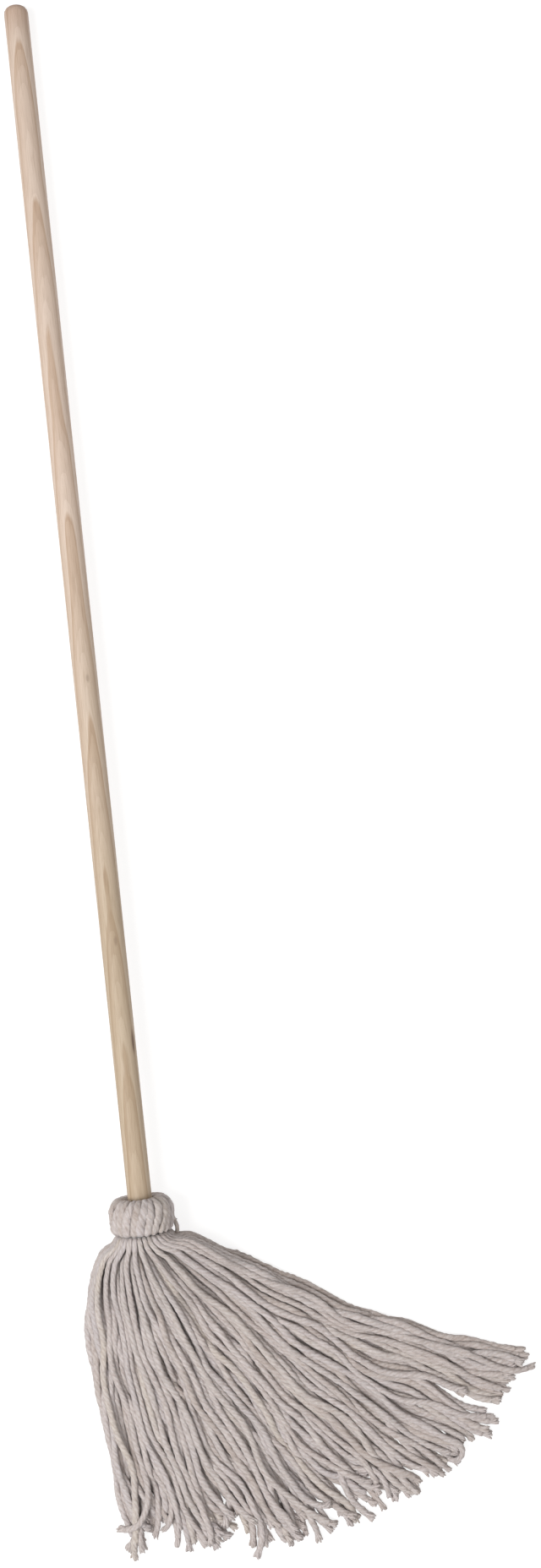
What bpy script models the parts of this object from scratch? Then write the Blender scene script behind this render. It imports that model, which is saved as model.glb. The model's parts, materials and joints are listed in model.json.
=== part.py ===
"""String mop: a round wooden handle whose lower end is tied into a head of cotton yarn.

The mop lies on a floor at z = 0. The handle runs along +Y and its tip touches the floor. The yarn skirt
is fanned out on the floor, swept towards +X. The yarn is laid along the end of the handle, bound by an
inner tie wire, folded back over it as a round collar, and bound again at the crease by an outer tie wire.
Below the crease the yarn bends freely, so the handle can be raised from the floor while the skirt lies.
Lengths are in metres.
"""

import math

import bmesh
import bpy
from mathutils import Matrix, Vector

# Handle
HANDLE_LENGTH = 1.2192
HANDLE_RADIUS = 0.0119
TIP_FLAT_RADIUS = 0.0045
TIP_ROUNDING = 0.0075
HANDLE_STEPS = 48
YARN_STEPS = 28

# Head, measured along the handle axis from the crease: + towards the tip, - towards the skirt
HANDLE_END = -0.004
COLLAR_LENGTH = 0.0315
COLLAR_RADIUS = 0.0332
BELLY = 0.018
CREASE_RADIUS = 0.0285
TIE_RADIUS = 0.0240
TIE_MIDDLE = -0.0034
LAY_RADIUS = 0.0188
LAY_WAIST_RADIUS = 0.0160
LAY_TOP = 0.0235
INNER_TIE = 0.012
WAIST_BOTTOM = -0.007
FOLD_COUNT = 12
FOLD_GAP = math.radians(1.6)
CLEARANCE = 0.0004

# Wires
WIRE_RADIUS = 0.0006
WIRE_PITCH = 0.0015
INNER_TURNS = 4
OUTER_TURNS = 2
TAIL_TURN = math.radians(35)
STAPLE_RADIUS = 0.0006
STAPLE_DEPTH = 0.008
STAPLE_SPAN = 0.0145
STAPLE_BEND = 0.0012

# The groove cut round the handle for the inner tie, and the waist that the tie squeezes in the yarn
GROOVE_DEPTH = 0.0012
GROOVE_HALF_LENGTH = 0.0042
WAIST_HALF_LENGTH = 0.0055
WAIST_SLOPE = 0.0020

# Section of the folded-back yarn
FOLD_CENTRE_RADIUS = 0.0222
FOLD_FOOT = 0.0014
RIM_WIDTH, RIM_HEIGHT = 0.006, 0.004

# Where the yarn bends: a hinge across the handle, this far below the crease
PIVOT_DROP = 0.040
NECK_RADIUS = 0.0315
NECK_LEFT, NECK_RIGHT = -0.050, 0.042
NECK_BACK = -0.046

# Skirt: yarn locks side by side, in two layers, between flow lines that leave the crease
LOCK_COLUMNS = 14
LAYERS = ("lower", "upper")
LOCK_SECTIONS = 9
LOCK_GAP = 0.0005
LOCK_ROUNDING = 0.3
SIDE_COLUMNS = 10
PILE_END = 0.016
PILE_EXTRA = 0.034
# Cubic flow lines across the fan, from its left edge to its right one, seen from above:
# (crease, first handle, second handle, cut end), from the floor point under the crease
FLOW_LINES = (
    ((-0.029, 0.0), (-0.104, -0.038), (-0.057, -0.230), (-0.049, -0.317)),
    ((-0.015, 0.0), (-0.035, -0.075), (0.010, -0.225), (0.060, -0.338)),
    ((0.000, 0.0), (0.015, -0.085), (0.092, -0.215), (0.167, -0.330)),
    ((0.015, 0.0), (0.058, -0.060), (0.182, -0.190), (0.286, -0.280)),
    ((0.029, 0.0), (0.094, -0.006), (0.118, -0.074), (0.367, -0.165)),
)

# The handle slopes down from the collar's belly to its tip, both resting on the floor
TILT = math.asin((COLLAR_RADIUS - HANDLE_RADIUS) / (HANDLE_LENGTH + HANDLE_END - BELLY))
CREASE_HEIGHT = COLLAR_RADIUS + BELLY * math.sin(TILT)
PIVOT_HEIGHT = CREASE_HEIGHT + PIVOT_DROP * math.sin(TILT)

WOOD = ("beech", (0.72, 0.58, 0.43), 0.55, 0.0)
COTTON = ("cotton_yarn", (0.60, 0.55, 0.51), 0.95, 0.0)
STEEL = ("galvanised_steel", (0.55, 0.56, 0.57), 0.40, 1.0)


def clear_scene():
    for obj in list(bpy.data.objects):
        bpy.data.objects.remove(obj)


def collection(name):
    made = bpy.data.collections.new(name)
    bpy.context.scene.collection.children.link(made)
    return made


def material(name, colour, roughness, metallic):
    found = bpy.data.materials.get(name)
    if found:
        return found
    made = bpy.data.materials.new(name)
    made.use_nodes = True
    shader = made.node_tree.nodes["Principled BSDF"]
    shader.inputs["Base Color"].default_value = (*colour, 1.0)
    shader.inputs["Roughness"].default_value = roughness
    shader.inputs["Metallic"].default_value = metallic
    return made


def add(name, data, look, parent):
    """Puts data in the mop's collection as an object of that name, under parent."""
    obj = bpy.data.objects.new(name, data)
    PARTS.objects.link(obj)
    obj.parent = parent
    if look and not data.materials:
        data.materials.append(material(*look))
    return obj


def empty(name, location, rotation=(0.0, 0.0, 0.0), parent=None):
    obj = bpy.data.objects.new(name, None)
    PARTS.objects.link(obj)
    obj.location = location
    obj.rotation_euler = rotation
    obj.parent = parent
    return obj


def on_axis(along):
    """A distance from the crease as a height on the pivot's local Z, which is the handle axis."""
    return along + PIVOT_DROP


def turned(name, profile, steps, look, parent):
    """A solid of revolution about the handle axis. profile holds (radius, along), from the tip's end down."""
    mesh = bpy.data.meshes.new(name)
    points = [(radius, 0.0, on_axis(along)) for radius, along in profile]
    mesh.from_pydata(points, [(i, i + 1) for i in range(len(points) - 1)], [])
    obj = add(name, mesh, look, parent)
    screw = obj.modifiers.new("turn", "SCREW")
    screw.steps = screw.render_steps = steps
    screw.use_merge_vertices = True
    screw.merge_threshold = 0.00001
    screw.use_smooth_shade = True
    return obj


def arc(centre, radii, start, end, count):
    """count + 1 points of an elliptical arc, in degrees from the first axis towards the second."""
    angles = [math.radians(start + (end - start) * i / count) for i in range(count + 1)]
    return [
        (centre[0] + radii[0] * math.cos(a), centre[1] + radii[1] * math.sin(a))
        for a in angles
    ]


def wire(name, points, radius, parent, look=STEEL):
    """A round wire through points, with flat cut ends."""
    curve = bpy.data.curves.new(name, "CURVE")
    curve.dimensions = "3D"
    curve.bevel_depth = radius
    curve.bevel_resolution = 2
    curve.use_fill_caps = True
    spline = curve.splines.new("POLY")
    spline.points.add(len(points) - 1)
    for place, point in zip(spline.points, points):
        place.co = (*point, 1.0)
    return add(name, curve, look, parent)


def cut(obj, cutters):
    for cutter in cutters:
        boolean = obj.modifiers.new("cut", "BOOLEAN")
        boolean.operation = "DIFFERENCE"
        boolean.solver = "EXACT"
        boolean.object = cutter


# Handle and head


def make_handle(parent):
    tip = HANDLE_LENGTH + HANDLE_END
    shoulder = (HANDLE_RADIUS - TIP_FLAT_RADIUS, TIP_ROUNDING)
    profile = [(0.0, tip)]
    profile += arc((TIP_FLAT_RADIUS, tip - TIP_ROUNDING), shoulder, 90, 0, 4)
    profile += [
        (HANDLE_RADIUS, INNER_TIE + WAIST_HALF_LENGTH),
        (HANDLE_RADIUS - GROOVE_DEPTH, INNER_TIE + GROOVE_HALF_LENGTH),
        (HANDLE_RADIUS - GROOVE_DEPTH, INNER_TIE - GROOVE_HALF_LENGTH),
        (HANDLE_RADIUS, INNER_TIE - WAIST_HALF_LENGTH),
        (HANDLE_RADIUS, HANDLE_END + 0.001),
        (HANDLE_RADIUS - 0.001, HANDLE_END),
        (0.0, HANDLE_END),
    ]
    return turned("handle", profile, HANDLE_STEPS, WOOD, parent)


def make_inner_lay(parent):
    """The yarn that lies along the end of the handle, squeezed to a waist by the inner tie."""
    bore = HANDLE_RADIUS + CLEARANCE
    profile = [
        (bore, LAY_TOP),
        (LAY_RADIUS - 0.002, LAY_TOP),
        (LAY_RADIUS, LAY_TOP - 0.003),
        (LAY_RADIUS, INNER_TIE + WAIST_HALF_LENGTH + WAIST_SLOPE),
        (LAY_WAIST_RADIUS, INNER_TIE + WAIST_HALF_LENGTH),
        (LAY_WAIST_RADIUS, INNER_TIE - WAIST_HALF_LENGTH),
        (LAY_RADIUS, INNER_TIE - WAIST_HALF_LENGTH - WAIST_SLOPE),
        (LAY_RADIUS, 0.002),
        (bore, 0.002),
        (bore, LAY_TOP),
    ]
    return turned("inner_yarn_lay", profile, YARN_STEPS, COTTON, parent)


def coil_points(radius, turns, middle, per_turn, start=0.0):
    """A helix about the handle axis, centred on middle along it."""
    count = int(turns * per_turn)
    points = []
    for i in range(count + 1):
        turn = i / per_turn
        angle = start + 2 * math.pi * turn
        along = middle + (turn - turns / 2) * WIRE_PITCH
        points.append((radius * math.cos(angle), radius * math.sin(angle), on_axis(along)))
    return points


def make_inner_tie(parent):
    radius = LAY_WAIST_RADIUS + WIRE_RADIUS + CLEARANCE
    return wire("inner_tie_wire", coil_points(radius, INNER_TURNS, INNER_TIE, 16), WIRE_RADIUS, parent)


def staple_points(side):
    """A U over the inner tie: down one leg into the wood, across the wire, down the other leg."""
    crown = LAY_WAIST_RADIUS + 2 * (WIRE_RADIUS + CLEARANCE) + STAPLE_RADIUS + 0.0004
    deep = HANDLE_RADIUS - STAPLE_DEPTH
    half = STAPLE_SPAN / 2
    turn = (STAPLE_BEND, STAPLE_BEND)
    outline = [(deep, -half), (crown - STAPLE_BEND, -half)]
    outline += arc((crown - STAPLE_BEND, -half + STAPLE_BEND), turn, -90, 0, 3)[1:]
    outline += arc((crown - STAPLE_BEND, half - STAPLE_BEND), turn, 0, 90, 3)
    outline += [(deep, half)]
    return [(side * radius, 0.0, on_axis(INNER_TIE + along)) for radius, along in outline]


def make_staples(parent):
    for side, side_name in ((-1, "left"), (1, "right")):
        wire(f"tie_staple_{side_name}", staple_points(side), STAPLE_RADIUS, parent)


def leg_cutters(parent):
    """One cylinder for each staple leg, cut through the yarn and into the wood."""
    made = []
    depth = STAPLE_DEPTH + CLEARANCE
    inner = HANDLE_RADIUS - depth
    length = LAY_RADIUS + 0.004 - inner
    for side in (-1, 1):
        for end in (-1, 1):
            mesh = bpy.data.meshes.new("leg_cutter")
            shape = bmesh.new()
            bmesh.ops.create_cone(
                shape,
                cap_ends=True,
                segments=10,
                radius1=STAPLE_RADIUS + CLEARANCE,
                radius2=STAPLE_RADIUS + CLEARANCE,
                depth=length,
            )
            shape.to_mesh(mesh)
            shape.free()
            cutter = bpy.data.objects.new("leg_cutter", mesh)
            CUTTERS.objects.link(cutter)
            cutter.parent = parent
            middle = side * (inner + length / 2)
            cutter.location = (middle, 0.0, on_axis(INNER_TIE + end * STAPLE_SPAN / 2))
            cutter.rotation_euler = (0.0, math.pi / 2, 0.0)
            cutter.hide_render = True
            cutter.display_type = "WIRE"
            made.append(cutter)
    return made


def fold_profile():
    """Section of the folded-back yarn: up inside, over the rim, down the belly and in to the crease."""
    inside = LAY_RADIUS + 0.0024
    lip = HANDLE_RADIUS + CLEARANCE
    over_lay = LAY_TOP + 2 * CLEARANCE
    rim = COLLAR_LENGTH - RIM_HEIGHT
    centre = (FOLD_CENTRE_RADIUS, BELLY)
    swell = COLLAR_RADIUS - FOLD_CENTRE_RADIUS
    outline = [(inside, FOLD_FOOT), (inside, over_lay), (lip, over_lay), (lip, rim)]
    outline += arc((lip + RIM_WIDTH, rim), (RIM_WIDTH, RIM_HEIGHT), 180, 90, 3)[1:]
    outline += arc(centre, (swell, COLLAR_LENGTH - BELLY), 72, 0, 5)
    outline += arc(centre, (swell, BELLY), -25, -62, 3)
    outline.append((FOLD_CENTRE_RADIUS + 0.004, FOLD_FOOT))
    return outline


def make_folds(parent):
    """The collar: locks of yarn folded back over the inner tie, side by side round the handle."""
    mesh = bpy.data.meshes.new("collar_fold")
    shape = bmesh.new()
    corners = [shape.verts.new((radius, 0.0, on_axis(along))) for radius, along in fold_profile()]
    section = shape.faces.new(corners)
    sweep = 2 * math.pi / FOLD_COUNT - FOLD_GAP
    bmesh.ops.spin(
        shape,
        geom=[section, *section.edges, *section.verts],
        cent=(0.0, 0.0, 0.0),
        axis=(0.0, 0.0, 1.0),
        angle=sweep,
        steps=3,
        use_duplicate=False,
    )
    bmesh.ops.recalc_face_normals(shape, faces=shape.faces)
    shape.to_mesh(mesh)
    shape.free()
    for i in range(FOLD_COUNT):
        fold = add(f"collar_fold_{i + 1:02d}", mesh.copy(), COTTON, parent)
        fold.rotation_euler = (0.0, 0.0, 2 * math.pi * i / FOLD_COUNT)


def make_waist(parent):
    """The yarn squeezed under the outer tie, round the very end of the handle."""
    bore = HANDLE_RADIUS + CLEARANCE
    groove = TIE_RADIUS - WIRE_RADIUS - CLEARANCE
    lip = TIE_RADIUS + 0.0008
    top = 0.0009
    profile = [
        (bore, top),
        (lip, top),
        (groove, top - 0.0012),
        (groove, WAIST_BOTTOM + 0.0008),
        (groove - 0.001, WAIST_BOTTOM),
        (0.0, WAIST_BOTTOM),
        (0.0, HANDLE_END - CLEARANCE),
        (bore, HANDLE_END - CLEARANCE),
        (bore, top),
    ]
    return turned("waist_yarn", profile, YARN_STEPS, COTTON, parent)


def pigtail(end, phase, count):
    """One wire of the twisted pair that closes the outer tie, from the coil outwards."""
    start = Vector((TIE_RADIUS + 0.0024, 0.0, on_axis(TIE_MIDDLE)))
    tip = Vector((0.0392, 0.0, on_axis(0.0016)))
    along = (tip - start).normalized()
    side = Vector((0.0, 1.0, 0.0))
    across = along.cross(side)
    turns = 2.0
    points = []
    for i in range(count + 1):
        share = i / count
        angle = phase + 2 * math.pi * turns * share
        off = side * math.cos(angle) + across * math.sin(angle)
        points.append(start.lerp(tip, share) + off * (WIRE_RADIUS + 0.0003))
    return points if end else points[::-1]


def make_outer_tie(parent):
    """Two turns in the crease whose two ends are twisted together, low at the right side."""
    lead = 0.16
    coil = coil_points(TIE_RADIUS, OUTER_TURNS - lead, TIE_MIDDLE, 18, math.pi * lead)
    points = pigtail(False, math.pi, 13) + coil + pigtail(True, 0.0, 13)
    tie = wire("outer_tie_wire", [tuple(p) for p in points], WIRE_RADIUS, parent)
    tie.rotation_euler = (0.0, 0.0, TAIL_TURN)
    return tie


# Skirt


def bezier(points, t):
    a, b, c, d = (Vector(p) for p in points)
    r = 1 - t
    return a * r**3 + b * (3 * r * r * t) + c * (3 * r * t * t) + d * t**3


def smooth(x):
    x = min(max(x, 0.0), 1.0)
    return x * x * (3 - 2 * x)


def flow_line(across):
    """The flow line at a share of the way across the fan, between the two given ones beside it."""
    place = across * (len(FLOW_LINES) - 1)
    i = min(int(place), len(FLOW_LINES) - 2)
    share = place - i
    return [Vector(a).lerp(Vector(b), share) for a, b in zip(FLOW_LINES[i], FLOW_LINES[i + 1])]


def yarn_point(across, t, up):
    """A point in the yarn: across the fan, along a strand from the crease, and up through the pile, each 0 to 1.

    At the crease the yarn fills a disc; along the floor it is a pile that thins towards the cut ends.
    """
    u, v = 2 * across - 1, 2 * up - 1
    plan = bezier(flow_line(across), t)
    disc_x = CREASE_RADIUS * u * math.sqrt(1 - v * v / 2)
    disc_z = CREASE_HEIGHT + CREASE_RADIUS * v * math.sqrt(1 - u * u / 2)
    pile = PILE_END + PILE_EXTRA * (1 - t) ** 2
    narrow = 1 - smooth(t / 0.12)
    x = plan.x + (disc_x - CREASE_RADIUS * u) * narrow
    z = disc_z + (pile * up - disc_z) * smooth(t / 0.4)
    return Vector((x, plan.y, z))


def lock_start(column):
    """Where a flow line leaves the neck: through its back, or on the right through its side."""
    across = column / LOCK_COLUMNS
    line = flow_line(across)
    low, high = 0.0, 1.0
    for _ in range(30):
        t = (low + high) / 2
        place = bezier(line, t)
        if column <= SIDE_COLUMNS:
            outside = place.y < NECK_BACK - LOCK_GAP
        else:
            outside = place.x > NECK_RIGHT + 2 * LOCK_GAP
        low, high = (low, t) if outside else (t, high)
    return high


def lock_section(column, layer, share):
    """Eight points round a lock: a rounded rectangle between two flow lines and two heights."""
    ups = (layer / len(LAYERS), (layer + 1) / len(LAYERS))
    sides = []
    for c in (column, column + 1):
        start = lock_start(c)
        t = start + (1 - start) * share
        sides.append([yarn_point(c / LOCK_COLUMNS, t, up) for up in ups])
    (left_low, left_high), (right_low, right_high) = sides
    across = (right_low - left_low).normalized() * LOCK_GAP
    base = Vector((0.0, 0.0, 0.0 if layer == 0 else LOCK_GAP))
    lid = Vector((0.0, 0.0, -LOCK_GAP))
    corners = (
        left_low + across + base,
        right_low - across + base,
        right_high - across + lid,
        left_high + across + lid,
    )
    ring = []
    for i, corner in enumerate(corners):
        before, after = corners[i - 1], corners[(i + 1) % 4]
        ring.append(corner.lerp(before, LOCK_ROUNDING if i % 2 else LOCK_ROUNDING / 2))
        ring.append(corner.lerp(after, LOCK_ROUNDING / 2 if i % 2 else LOCK_ROUNDING))
    return ring


def loft(name, rings, look, parent):
    """A closed skin over rings of equally many points, with a flat cap at each end."""
    mesh = bpy.data.meshes.new(name)
    shape = bmesh.new()
    rows = [[shape.verts.new(point) for point in ring] for ring in rings]
    for row, following in zip(rows, rows[1:]):
        for i in range(len(row)):
            shape.faces.new((row[i - 1], row[i], following[i], following[i - 1]))
    shape.faces.new(rows[0])
    shape.faces.new(rows[-1][::-1])
    bmesh.ops.recalc_face_normals(shape, faces=shape.faces)
    shape.to_mesh(mesh)
    shape.free()
    return add(name, mesh, look, parent)


def make_locks(parent):
    for layer, layer_name in enumerate(LAYERS):
        for column in range(LOCK_COLUMNS):
            shares = [(i / (LOCK_SECTIONS - 1)) ** 1.2 for i in range(LOCK_SECTIONS)]
            rings = [lock_section(column, layer, share) for share in shares]
            loft(f"{layer_name}_lock_{column + 1:02d}", rings, COTTON, parent)


def make_neck(parent):
    """The gathered yarn just below the outer tie: round at the front, where the handle turns over it."""
    back = math.degrees(math.acos((NECK_BACK + PIVOT_DROP) / NECK_RADIUS))
    section = arc((-PIVOT_DROP, PIVOT_HEIGHT), (NECK_RADIUS, NECK_RADIUS), -back, back, 14)
    stations = (
        (NECK_LEFT, 0.72),
        (NECK_LEFT + 0.008, 0.92),
        (-0.030, 1.0),
        (0.028, 1.0),
        (NECK_RIGHT - 0.004, 0.92),
        (NECK_RIGHT, 0.80),
    )
    centre = Vector((NECK_BACK, PIVOT_HEIGHT))
    rings = []
    for x, scale in stations:
        places = [centre.lerp(Vector(point), scale) for point in section]
        rings.append([Vector((x, place.x, place.y)) for place in places])
    return loft("neck_yarn", rings, COTTON, parent)


def centre_over_origin(root):
    """Moves the whole mop so that the middle of its footprint is over the origin."""
    bpy.context.view_layer.update()
    graph = bpy.context.evaluated_depsgraph_get()
    points = []
    for obj in PARTS.objects:
        if obj.type != "EMPTY":
            shown = obj.evaluated_get(graph)
            points += [shown.matrix_world @ vertex.co for vertex in shown.to_mesh().vertices]
            shown.to_mesh_clear()
    for axis in (0, 1):
        values = [point[axis] for point in points]
        root.location[axis] = -(min(values) + max(values)) / 2


def build():
    root = empty("under_crease", (0.0, 0.0, 0.0))
    pivot = empty(
        "handle_pivot",
        (0.0, -PIVOT_DROP * math.cos(TILT), PIVOT_HEIGHT),
        (-(math.pi / 2 + TILT), 0.0, 0.0),
        root,
    )
    handle = make_handle(pivot)
    lay = make_inner_lay(pivot)
    cutters = leg_cutters(pivot)
    cut(handle, cutters)
    cut(lay, cutters)
    make_inner_tie(pivot)
    make_staples(pivot)
    make_folds(pivot)
    make_waist(pivot)
    make_outer_tie(pivot)
    make_neck(root)
    make_locks(root)
    centre_over_origin(root)


clear_scene()
PARTS = collection("string_mop")
CUTTERS = collection("cutters")
build()
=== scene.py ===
"""Looks of the string mop: every strand of its yarn, the grain of its handle, its tie wires, the studio.

The head is laid out in its own frame: `along` runs up the handle from the crease below the collar,
`side` is +X and `up` is away from the floor. Lengths are in metres.
"""

import json
import math
from collections import namedtuple

import bpy
import numpy as np
from mathutils import Matrix, Vector


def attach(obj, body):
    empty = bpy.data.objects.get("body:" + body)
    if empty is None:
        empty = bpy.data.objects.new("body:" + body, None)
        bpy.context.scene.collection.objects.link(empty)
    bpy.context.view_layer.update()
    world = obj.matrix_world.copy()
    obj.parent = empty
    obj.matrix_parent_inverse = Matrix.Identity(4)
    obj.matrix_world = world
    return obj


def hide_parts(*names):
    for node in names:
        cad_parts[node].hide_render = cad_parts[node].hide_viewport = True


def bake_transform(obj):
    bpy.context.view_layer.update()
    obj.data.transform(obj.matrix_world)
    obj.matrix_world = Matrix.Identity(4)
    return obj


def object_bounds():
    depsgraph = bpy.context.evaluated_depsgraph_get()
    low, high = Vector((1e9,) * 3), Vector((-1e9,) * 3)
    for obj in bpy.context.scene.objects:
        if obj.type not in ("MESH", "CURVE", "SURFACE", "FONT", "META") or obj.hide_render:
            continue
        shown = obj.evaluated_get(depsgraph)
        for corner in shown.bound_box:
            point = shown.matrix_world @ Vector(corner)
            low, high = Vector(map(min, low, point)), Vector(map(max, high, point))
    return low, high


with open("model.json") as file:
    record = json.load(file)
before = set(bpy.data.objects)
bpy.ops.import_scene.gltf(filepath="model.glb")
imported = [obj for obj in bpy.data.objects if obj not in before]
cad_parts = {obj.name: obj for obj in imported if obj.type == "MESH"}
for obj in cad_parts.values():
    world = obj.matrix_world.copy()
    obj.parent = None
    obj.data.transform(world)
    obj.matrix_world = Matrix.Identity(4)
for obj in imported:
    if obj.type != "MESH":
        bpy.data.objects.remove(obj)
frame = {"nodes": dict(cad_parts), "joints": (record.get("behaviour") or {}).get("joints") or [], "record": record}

CAD_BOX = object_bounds()
RNG = np.random.RandomState(20)
# Random phases come from 0 to a little over one turn
ANY_PHASE = 7
# The golden angle as a share of pi
GOLDEN_SHARE = 3 - math.sqrt(5)

# Places in the frame
JOINT = frame["joints"][0]
MOUNTS = {mount["name"]: mount for mount in frame["record"]["mounts"]}
AXIS = np.array(MOUNTS["handle_tip"]["axis"])
SIDE = np.array((1.0, 0.0, 0.0))
UP = np.cross(SIDE, AXIS)
PIVOT = np.array(JOINT["pos_m"])
PIVOT_DROP = 0.040
CREASE = PIVOT + AXIS * PIVOT_DROP

# Yarn: a strand is skinned with ROUND points in each ring, and its rings are RING_STEP apart.
# PLY_OFFSET, SLUB and LUMPS are shares of its radius; waves are (how many, shortest, longest)
STRAND_RADIUS = 0.0031
RADIUS_SPREAD = (0.90, 1.10)
FLATNESS = (1.0, 1.12)
PLIES = 4
PLY_OFFSET = 0.27
ROUND = 16
RING_STEP = 0.0019
TWIST_PITCH = 0.030
PITCH_SPREAD = (0.85, 1.2)
TWIST_WANDER, TWIST_WAVES = 0.35, (2, 0.03, 0.09)
SLUB, SLUB_WAVES = 0.05, (3, 0.012, 0.045)
LUMPS = 0.055
END_DOME = 0.35
# Each strand starts somewhere in this length of the texture
TEXTURE_LENGTH = 40

# The cut end's yarns: their places and girths are shares of the strand's half sizes. The tube of the
# plies ends TUFT_OVERLAP of the tuft's length before the cut end
TUFT_LENGTH = 0.013
TUFT_OVERLAP = 0.72
TUFT_YARNS = 13
TUFT_ROUND = 6
BEARING_JITTER = 0.3
TUFT_CORE, TUFT_FLARE, FLARE_POWER = 0.66, (0.20, 0.65), 1.6
TUFT_CURL = 0.22
TUFT_TWIST = 0.6
TUFT_GIRTH, GIRTH_GROWTH, GIRTH_AT_TIP = (0.30, 0.42), 0.15, 0.6
TUFT_FIBRE_RADIUS = 0.0012
FLOOR_GAP = 0.0002

# Skirt: flow lines across the fan, from its left edge to its right one, seen from above:
# (crease, first handle, second handle, cut end), from the floor point under the crease
FLOW_LINES = (
    ((-0.020, 0.0), (-0.098, -0.038), (-0.053, -0.230), (-0.045, -0.317)),
    ((-0.011, 0.0), (-0.035, -0.075), (0.010, -0.225), (0.060, -0.338)),
    ((0.000, 0.0), (0.015, -0.085), (0.092, -0.215), (0.167, -0.330)),
    ((0.011, 0.0), (0.058, -0.060), (0.182, -0.190), (0.286, -0.280)),
    ((0.020, 0.0), (0.075, -0.014), (0.106, -0.091), (0.364, -0.168)),
)
# A flow line is sampled this often, and its last samples give the way that longer strands go on
CURVE_SAMPLES = 160
END_SAMPLES = 6
# Width of the fan at the cut ends, which turns shares of the way across it into distances
FAN_WIDTH = 0.46
COLUMNS = 14
LAYERS = ("lower", "upper")
UPPER = 1
STRANDS_A_LOCK = 6
STRANDS = COLUMNS * len(LAYERS) * STRANDS_A_LOCK
# The upper strands lie over the gaps between the lower ones: places of the first one in each layer
STAGGER = (0.25, 0.75)

# Under the outer tie the strands fill a tube round the handle's end; below it they puff up to a full
# disc. HALF is half of a strand's thickness there
RING_STRANDS = 36
RING_RADIUS, RING_HALF = 0.0212, 0.00195
SHOULDER_HALF = 0.0025
FILL_INNER, FILL_OUTER, FILL_HALF = 0.0134, 0.0183, 0.0013
DISC_OUTER, DISC_HALF = 0.0232, 0.0023
START_ALONG = -0.0015
# (radius, along) of a strand of the ring, from under the tie to the shoulder that hides the wire
SHOULDER = (
    (0.0212, -0.0015),
    (0.0212, -0.0032),
    (0.0222, -0.0047),
    (0.0246, -0.0056),
    (0.0266, -0.0072),
    (0.0276, -0.0094),
    (0.0278, -0.0125),
)
# Changes along a strand, as (start, length) in metres from its upper end
PUFF_EASE, RING_PUFF_EASE = (0.004, 0.020), (0.002, 0.008)
SPREAD_EASE, SINK_EASE = (0.002, 0.030), (0.006, 0.060)
THICKEN_EASE = (0.02, 0.10)
# Height of the pile at the cut ends, and how much more there is at the crease
PILE_END, PILE_EXTRA, PILE_POWER = 0.010, 0.045, 2.5

# Tufts that the cut ends gather in: (place across the fan, reach as a share of the flow line,
# how far the strands are drawn together, how much shorter the strands beside the tuft are)
TUFTS = (
    (0.015, 1.02, 0.80, 0.060),
    (0.080, 0.96, 0.70, 0.060),
    (0.160, 1.02, 0.85, 0.090),
    (0.215, 0.97, 0.70, 0.070),
    (0.335, 1.00, 0.75, 0.075),
    (0.400, 0.995, 0.70, 0.060),
    (0.455, 0.995, 0.75, 0.075),
    (0.530, 0.99, 0.75, 0.075),
    (0.600, 1.00, 0.75, 0.075),
    (0.660, 1.00, 0.75, 0.075),
    (0.705, 1.00, 0.75, 0.060),
    (0.755, 0.99, 0.75, 0.060),
    (0.800, 0.98, 0.75, 0.060),
    (0.845, 1.02, 0.80, 0.075),
    (0.885, 0.91, 0.50, 0.030),
    (0.925, 1.00, 0.00, 0.000),
    (0.975, 1.00, 0.00, 0.000),
)
NOTCH_WIDTH = 0.038
PULL_SPREAD = (0.65, 1.20)
# Strands may go to the next tuft, by about this share of the fan's width, and end unevenly
STRAY = 0.018
UNEVEN_ENDS = 0.012
# The strands to the right of the third last tuft lie closer together and end flush
EDGE_CROWDING, CROWDING_POWER = 0.5, 6
EDGE_UNEVEN_ENDS = 0.004
EDGE_END_TURN = 0.25
# The lower layer wanders less than the upper one, so that few holes go right through the skirt
LOWER_CALM = 0.6
LOWER_SHORTER = 0.008
# The upper layer's strands are drawn together in small groups all along the skirt
GROUPS = 38
GROUP_JITTER = 0.3
GROUP_PULL = 0.45
# Strands on top whose ends turn away: (place across the fan, reach, turn in degrees, length that turns)
HOOKS = (
    (0.100, 0.98, -100, 0.075),
    (0.270, 0.93, 40, 0.050),
    (0.500, 0.94, 55, 0.045),
    (0.805, 1.03, -165, 0.032),
    (0.975, 1.045, 12, 0.040),
)
HOOK_LIFT = 0.010
TOP_OF_PILE = 0.85
# Where tufts gather, groups close up and hooks rise, as (start, length) in shares of the flow line
GATHER_EASE, GROUP_EASE, HOOK_EASE = (0.76, 0.22), (0.08, 0.30), (0.6, 0.2)

# Sways: (size, shortest and longest wave, waves across the fan) and (size, shortest and longest wave)
SHARED_SWAYS = ((0.0018, 0.14, 0.24, 2.5), (0.0010, 0.07, 0.11, 5.0))
OWN_SWAYS = ((0.0034, 0.12, 0.24), (0.0010, 0.05, 0.09))
WAVES_SPREAD = (0.6, 1.4)
SWAY_AT_CREASE, SWAY_GROWTH = 0.4, 0.9
SWAY_EASE = (0.02, 0.10)
# The last part of each strand turns a little, by about this many radians
END_TURN, END_TURN_LENGTH, TURN_POWER = 0.40, 0.055, 1.3

# Settling: the strands are chains of balls that drop, touch and stay near their flow lines
BALLS = 80
BALL_CROWDING = 1.35
SETTLE_ROUNDS = 150
ROUNDS_A_SEARCH = 5
SEARCH_MARGIN = 1.1
DROP, DROP_FADE = 0.00022, 0.8
DROP_EASE = (0.02, 0.06)
SOFTNESS = 0.90
BEND_STIFFNESS = 0.30
FRICTION = 0.05
SIDE_PUSH = 0.5
TOUCH_POWER = 0.6
# Near the crease the tie holds the strands
HOLD, HOLD_EASE = 0.6, (0.012, 0.07)

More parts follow.
